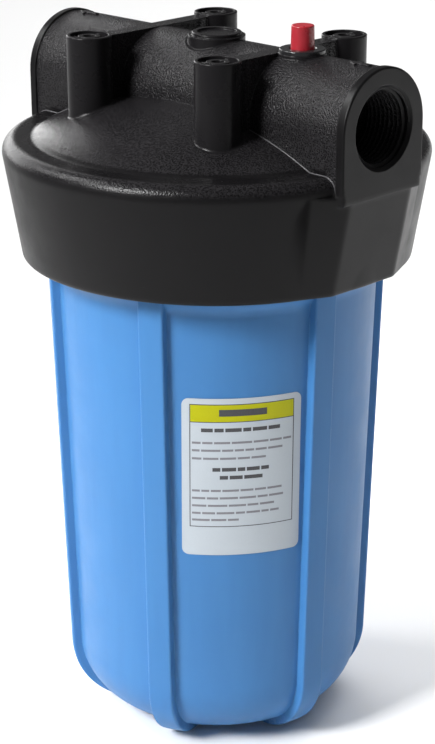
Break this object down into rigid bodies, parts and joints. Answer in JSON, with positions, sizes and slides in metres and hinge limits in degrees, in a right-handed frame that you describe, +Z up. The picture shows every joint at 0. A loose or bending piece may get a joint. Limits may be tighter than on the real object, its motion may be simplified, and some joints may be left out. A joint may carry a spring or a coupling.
{
  "type": "cartridge filter housing",
  "caption": "Large-diameter cartridge filter housing: ribbed blue sump screwed into a black cap with in-line pipe ports, bracket bosses and a push-button relief valve.",
  "frame": {"origin": "centre of the sump's feet, on the plane the housing stands on", "axes": "+Z up along the sump's axis, +X along the pipe towards the inlet port, +Y completes a right-handed frame"},
  "size_m": [0.187, 0.1844, 0.3214],
  "materials": {
    "sump_blue_polypropylene": "smooth moulded polypropylene with a soft sheen",
    "label_film": "printed film, satin",
    "black_rubber": "moulded nitrile rubber",
    "cap_black_polypropylene": "spark-textured on the dome and barrel, smooth on skirt and bosses",
    "collar_black_plastic": "gloss moulded plastic",
    "button_red_plastic": "gloss moulded plastic",
    "relief_metal": "turned stainless steel",
    "spring_steel": "drawn stainless spring wire",
    "core_white_plastic": "moulded polypropylene",
    "mesh_white_plastic": "extruded polypropylene netting",
    "pleated_media": "pleated spun polyester sheet",
    "net_white_plastic": "extruded polypropylene netting",
    "end_cap_vinyl": "cast vinyl",
    "gasket_rubber": "sponge rubber"
  },
  "bodies": {
    "sump": {"sump": "sump_blue_polypropylene", "sump_label": "label_film", "sump_o_ring": "black_rubber"},
    "cartridge": {"cartridge_core": "core_white_plastic", "cartridge_inner_mesh": "mesh_white_plastic", "cartridge_pleats": "pleated_media", "cartridge_outer_net": "net_white_plastic", "cartridge_top_cap": "end_cap_vinyl", "cartridge_bottom_cap": "end_cap_vinyl", "cartridge_top_gasket": "gasket_rubber", "cartridge_bottom_gasket": "gasket_rubber"},
    "cap": {"cap": "cap_black_polypropylene", "relief_collar": "collar_black_plastic", "relief_spring": "spring_steel"},
    "relief_button": {"relief_button": "button_red_plastic", "relief_stem": "relief_metal", "relief_seal": "black_rubber", "relief_washer": "relief_metal", "relief_retaining_clip": "spring_steel"}
  },
  "joints": [
    {"name": "cap_unscrew", "type": "hinge", "parent": "sump", "child": "cartridge", "pos_m": [0, 0, 0], "axis": [0, 0, 1], "range_deg": [0, 1080]},
    {"name": "cap_lift", "type": "slide", "parent": "cartridge", "child": "cap", "axis": [0, 0, 1], "range_m": [0, 0.024]},
    {"name": "relief_press", "type": "slide", "parent": "cap", "child": "relief_button", "axis": [0, 0, -1], "range_m": [0, 0.0025], "stiffness_N_per_m": 600, "springref_m": -0.001, "deforming": ["relief_spring"]}
  ],
  "couplings": [
    {"joint": "cap_lift", "follows": "cap_unscrew", "m_per_rad": 0.0012732}
  ]
}
